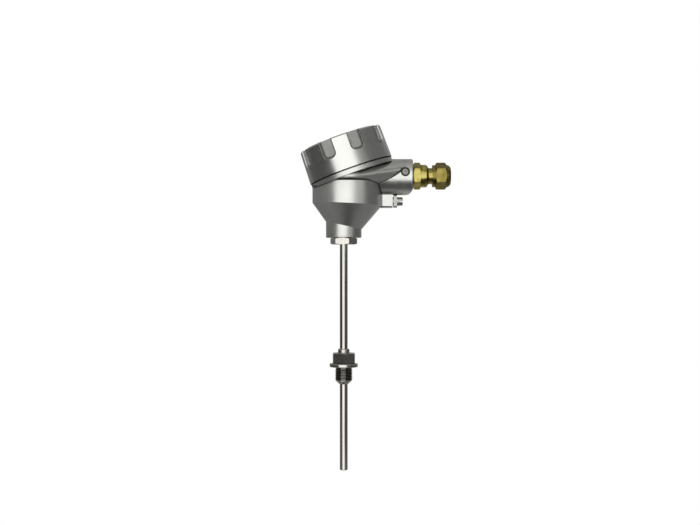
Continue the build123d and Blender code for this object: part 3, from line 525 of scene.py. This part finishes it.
def fitting_rows():
    """Radius, height and kind of each row, from the nose's bore up the outside and back."""
    nose_slope = (THREAD_RADIUS - NOSE_LAND) / (THREAD_FOOT - NOSE_FOOT)
    thread_z = np.linspace(THREAD_FOOT - 1.0, -UNDERCUT_WIDTH, THREAD_ROWS)
    thread_r = np.minimum(NOSE_LAND + (thread_z - NOSE_FOOT) * nose_slope,
                          np.minimum(THREAD_RADIUS, UNDERCUT_RADIUS - (thread_z + UNDERCUT_WIDTH)))
    hex_corner = HEX_FLATS / 2 / cos(radians(30))
    bevel_z = np.linspace(HEX_TOP - (hex_corner - HEX_FLATS / 2) * HEX_BEVEL, HEX_TOP, 9)
    bevel_r = HEX_FLATS / 2 + (HEX_TOP - bevel_z) / HEX_BEVEL
    flange_r = FLANGE_RADIUS - FLANGE_ROUND
    collar_r = COLLAR_RADIUS - COLLAR_ROUND
    runs = [
        ([TUBE_RADIUS, NOSE_LAND], [NOSE_FOOT, NOSE_FOOT], "round"),
        (thread_r, thread_z, "thread"),
        ([UNDERCUT_RADIUS, UNDERCUT_RADIUS], [-UNDERCUT_WIDTH + 0.01, 0.0], "round"),
        (*arc(flange_r, FLANGE_ROUND, FLANGE_ROUND, -90, 0), "round"),
        (*arc(flange_r, FLANGE_HEIGHT - FLANGE_ROUND, FLANGE_ROUND, 0, 90), "round"),
        ([hex_corner + 0.2, hex_corner], [FLANGE_HEIGHT, FLANGE_HEIGHT + 0.05], "hexagon"),
        (bevel_r, bevel_z, "hexagon"),
        (*arc(COLLAR_RADIUS + COLLAR_FILLET, HEX_TOP + COLLAR_FILLET, COLLAR_FILLET, 270, 180), "round"),
        (*arc(collar_r, COLLAR_TOP - COLLAR_ROUND, COLLAR_ROUND, 0, 90), "round"),
        ([TUBE_RADIUS + 0.5, TUBE_RADIUS + 0.12, TUBE_RADIUS], [COLLAR_TOP, COLLAR_TOP, COLLAR_TOP - 0.1],
         "round"),
        ([TUBE_RADIUS], [NOSE_FOOT + 0.2], "round"),
    ]
    radius = np.concatenate([np.asarray(r, float) for r, z, kind in runs])[:, None]
    height = np.concatenate([np.asarray(z, float) for r, z, kind in runs])[:, None]
    kinds = np.concatenate([np.full(len(r), kind) for r, z, kind in runs])[:, None]
    return radius, height, kinds


print("rows:", len(fitting_rows()[0]))


# %% Rings of the fitting
def fitting_surface(columns=192):
    """Rings about Z. Radius of a ring = row radius; on hexagon rows the lesser of that and
    half the flats over the cosine of the angle from the nearest flat's middle; on thread rows
    less the depth times a trapezoid wave of height in turns less angle in turns."""
    radius, height, kinds = fitting_rows()
    angle = (HEX_TURN + np.arange(columns) * 2 * pi / columns)[None, :]
    from_flat = np.mod(angle - HEX_TURN, pi / 3) - pi / 6
    hexagon = HEX_FLATS / 2 / np.cos(from_flat)
    turns = np.mod(height / THREAD_PITCH - angle / (2 * pi), 1.0)
    cut = np.clip((np.abs(turns - 0.5) - CREST_HALF) / FLANK, 0.0, 1.0)
    threaded = np.minimum(radius, THREAD_RADIUS - THREAD_DEPTH * cut)
    ring = np.where(kinds == "thread", threaded, radius + 0 * angle)
    ring = np.where(kinds == "hexagon", np.minimum(ring, hexagon), ring)
    return np.stack([ring * np.cos(angle), ring * np.sin(angle), height + 0 * angle], axis=-1) * MM


def closed_surface(name, points, material):
    """A mesh from a grid of points that closes on itself both ways. Each face joins a point to
    the next column and the next row, so columns that turn left and rows that climb the outside
    make faces that look outwards."""
    rows, columns = points.shape[:2]
    first = np.arange(rows * columns).reshape(rows, columns)
    right = np.roll(first, -1, axis=1)
    faces = np.stack([first, right, np.roll(right, -1, axis=0), np.roll(first, -1, axis=0)], axis=-1)
    mesh = bpy.data.meshes.new(name)
    mesh.from_pydata(points.reshape(-1, 3), [], faces.reshape(-1, 4))
    mesh.shade_smooth()
    mesh.set_sharp_from_angle(angle=radians(28))
    mesh.materials.append(material)
    piece = bpy.data.objects.new(name, mesh)
    bpy.context.scene.collection.objects.link(piece)
    print(name, "faces:", len(mesh.polygons))
    return piece


print("fitting, rings and points on each:", fitting_surface().shape[:2])

# %% Make the fitting
fitting = closed_surface("threaded_fitting", fitting_surface(), finishes["stainless"])
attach(fitting, "head")
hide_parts("process_fitting")

# %% [markdown]
# ## Studio
# Polished metal shows its surroundings, so its look is made by what stands round it. Here that
# is a wide white card in front, from a little right to well left of the camera, a narrow one at
# the right, and dark cards at the sides, above and below. The white card gives each round piece
# its bright band, the narrow one a thin light on its right, and the dark cards its grey sides.
# The stem has darker cards of its own at its level, because a polished tube needs more contrast.
# Photographers do the same with white and black boards. The cards are seen only in reflections:
# they neither hide the white background nor cast shadows. Each is part of a cylinder or a disc
# round the object, in degrees from the camera's side, and its brightness runs along it.

# %% How a card is made
WARMTH = 0.985


def card(name, points, shades):
    """A stage mesh from an open grid of points, with a UV map whose U runs along the columns.
    shades are (place from 0 to 1, brightness), and blue is held back a trace for warmth."""
    rows, columns = points.shape[:2]
    first = np.arange(rows * columns).reshape(rows, columns)
    faces = np.stack([first[:-1, :-1], first[:-1, 1:], first[1:, 1:], first[1:, :-1]], axis=-1)
    mesh = bpy.data.meshes.new(name)
    mesh.from_pydata(points.reshape(-1, 3), [], faces.reshape(-1, 4))
    corners = np.empty(len(mesh.loops), dtype=np.int32)
    mesh.loops.foreach_get("vertex_index", corners)
    across = (corners % columns) / (columns - 1)
    mesh.uv_layers.new(name="UVMap").uv.foreach_set("vector", np.stack([across, 0 * across], -1).ravel())
    material = bpy.data.materials.new(name)
    material.use_nodes = True
    tree = material.node_tree
    tree.nodes.clear()
    place = add_node(tree, "UVMap", uv_map="UVMap")[0]
    u = add_node(tree, "SeparateXYZ", {0: place})["X"]
    ramp = add_node(tree, "ValToRGB", {"Fac": u})["Color"]
    stops = ramp.node.color_ramp.elements
    while len(stops) < len(shades):
        stops.new(0.5)
    for stop, (where, shade) in zip(stops, shades):
        stop.position = where
        stop.color = (shade, shade, shade * WARMTH, 1.0)
    glow = add_node(tree, "Emission", {"Color": ramp, "Strength": 1.0})[0]
    add_node(tree, "OutputMaterial", {"Surface": glow})
    material.cycles.emission_sampling = "NONE"
    mesh.materials.append(material)
    piece = bpy.data.objects.new(name, mesh)
    bpy.context.scene.collection.objects.link(piece)
    piece.visible_camera = False
    piece.visible_diffuse = False
    piece.visible_shadow = False
    piece.visible_transmission = False


def wall(name, start, end, low, high, distance, shades):
    """Part of an upright cylinder: angle from the camera's side, height from low to high."""
    angle = np.radians(np.linspace(start, end, 49))[None, :]
    height = np.linspace(low, high, 2)[:, None]
    x = distance * np.sin(angle) + 0 * height
    y = -distance * np.cos(angle) + 0 * height
    card(name, np.stack([x, y, height + 0 * angle], -1), shades)
    print(name, "from", start, "to", end, "degrees")


def level_card(name, radius, height, shades):
    """A level disc below or above the object, whose brightness runs round it."""
    angle = np.radians(np.linspace(-180, 180, 73))[None, :]
    ring = np.linspace(0.02, radius, 2)[:, None]
    card(name, np.stack([ring * np.sin(angle), -ring * np.cos(angle), height + 0 * ring * angle], -1),
         shades)
    print(name, "at", height, "m")


print("blue of a card against its red:", WARMTH)

# %% Cards round the object
ROOM_RADIUS = 2.0
NEAR = 1.95
NEAREST = 1.93
ROOM_FOOT = -0.75
ROOM_TOP = 1.9
wall("card_front", -40, 22, ROOM_FOOT, ROOM_TOP, ROOM_RADIUS, [(0.0, 1.5), (0.8, 1.5), (1.0, 1.2)])
wall("card_left", -180, -40, ROOM_FOOT, ROOM_TOP, ROOM_RADIUS,
     [(0.0, 0.36), (0.2, 0.20), (0.97, 0.28), (1.0, 0.5)])
wall("card_right", 22, 180, ROOM_FOOT, ROOM_TOP, ROOM_RADIUS,
     [(0.0, 1.1), (0.08, 0.55), (0.28, 0.16), (0.6, 0.17), (1.0, 0.42)])
wall("card_side", 34, 62, 0.17, 0.55, NEAR, [(0.0, 1.1), (0.5, 1.1), (1.0, 0.4)])
wall("card_upper_right", 18, 60, 0.50, ROOM_TOP, NEAREST, [(0.0, 0.70), (0.3, 0.35), (1.0, 0.14)])
wall("card_low_left", -130, -42, -0.45, 0.17, NEAR, [(0.0, 0.10), (0.5, 0.06), (1.0, 0.07)])
wall("card_foot_left", -150, -36, ROOM_FOOT, -0.30, NEAREST, [(0.0, 0.16), (0.5, 0.15), (1.0, 0.18)])
wall("card_low_right", 27, 130, -0.45, 0.17, NEAR, [(0.0, 0.06), (0.5, 0.10), (1.0, 0.12)])
level_card("card_below", ROOM_RADIUS, ROOM_FOOT,
           [(0.0, 0.50), (0.12, 0.20), (0.3, 0.20), (0.46, 0.06), (0.56, 0.05), (0.72, 0.20),
            (0.88, 0.20), (1.0, 0.50)])
level_card("card_above", ROOM_RADIUS, ROOM_TOP, [(0.0, 0.30), (0.5, 0.50), (1.0, 0.30)])

# %% [markdown]
# ## Floor
# The floor is plain, pale and matt. The camera sees it as white as the background, so that the
# object stands free, and its own shader still gives soft light back to the matt surfaces. It is
# left out of reflections, where the card below takes its place.

# %% Floor
FLOOR_HALF = 4.0
FLOOR_HEIGHT = -0.20
FLOOR_CORNERS = [(-1, -1), (1, -1), (1, 1), (-1, 1)]
floor_mesh = bpy.data.meshes.new("floor")
floor_mesh.from_pydata([(x * FLOOR_HALF, y * FLOOR_HALF, FLOOR_HEIGHT) for x, y in FLOOR_CORNERS],
                       [], [(0, 1, 2, 3)])
floor = bpy.data.objects.new("floor", floor_mesh)
bpy.context.scene.collection.objects.link(floor)
floor.visible_glossy = False
floor_material, floor_tree, floor_shader = start_material("pale_floor", Roughness=0.9)
floor_shader.inputs["Base Color"].default_value = linear("#f2f2f0")
seen = add_node(floor_tree, "LightPath")["Is Camera Ray"]
glow = add_node(floor_tree, "Emission", {"Strength": 1.0})[0]
blend = add_node(floor_tree, "MixShader", {0: seen, 1: floor_shader.outputs[0], 2: glow})[0]
floor_tree.links.new(blend, floor_tree.nodes["Material Output"].inputs["Surface"])
floor_mesh.materials.append(floor_material)
print("floor at", FLOOR_HEIGHT, "m")

# %% [markdown]
# ## Room
# The room is white for the camera, for reflections and through glass, and at a plain level for
# the light that falls on matt surfaces, so that a colour renders about as it is written.

# %% Room
ROOM_LIGHT = 0.45
scene = bpy.context.scene
scene.view_settings.view_transform = "Standard"
world = bpy.data.worlds.new("white_room")
scene.world = world
world.use_nodes = True
world.cycles.sampling_method = "NONE"
room = world.node_tree
room.nodes.clear()
ray = add_node(room, "LightPath")
mirrored = add_node(room, "Math", {0: ray["Is Glossy Ray"], 1: ray["Is Transmission Ray"]},
                    operation="MAXIMUM")[0]
shown = add_node(room, "Math", {0: ray["Is Camera Ray"], 1: mirrored}, operation="MAXIMUM")[0]
strength = add_node(room, "MapRange", {"Value": shown, "To Min": ROOM_LIGHT, "To Max": 1.0})[0]
back = add_node(room, "Background", {"Color": (1, 1, 1, 1), "Strength": strength})[0]
add_node(room, "OutputWorld", {"Surface": back})
print("room light on matt surfaces:", ROOM_LIGHT)

# %% [markdown]
# ## Lamps
# Two soft lamps stand in front, the larger to the left, as a photographer sets a main light and
# a fill. They shape the matt pieces only: the metals take their light from the cards.

# %% Lamps
def soft_lamp(name, place, aim, width, height, power):
    """A rectangular lamp that faces its aim. It is left out of reflections, which the room and
    the cards give."""
    lamp = bpy.data.lights.new(name, "AREA")
    lamp.shape = "RECTANGLE"
    lamp.size = width
    lamp.size_y = height
    lamp.energy = power
    holder = bpy.data.objects.new(name, lamp)
    holder.location = place
    towards = np.array(aim) - np.array(place)
    holder.rotation_euler = (float(np.arctan2(np.hypot(towards[0], towards[1]), -towards[2])), 0.0,
                             float(np.arctan2(-towards[0], towards[1])))
    holder.visible_glossy = False
    scene.collection.objects.link(holder)
    print(name, "at", place)


HEAD = (0.0, 0.0, 0.15)
soft_lamp("lamp_front", (-0.6, -1.6, 0.7), HEAD, width=0.9, height=1.4, power=12.0)
soft_lamp("lamp_fill", (1.4, -0.6, 0.6), HEAD, width=0.8, height=0.8, power=4.0)

# %% [markdown]
# ## Camera
# The photograph was taken level, from straight in front, with a lens long enough that the
# verticals stay upright. The distance and lens give the whole object 345 pixels of the height.

# %% Camera
camera = bpy.data.cameras.new("camera")
camera.lens = 57.7
camera.sensor_width = 36.0
camera_holder = bpy.data.objects.new("camera", camera)
camera_holder.location = (0.0064, -1.15, 0.107)
camera_holder.rotation_euler = (radians(90), 0.0, 0.0)
scene.collection.objects.link(camera_holder)
scene.camera = camera_holder
print("camera at", tuple(camera_holder.location))
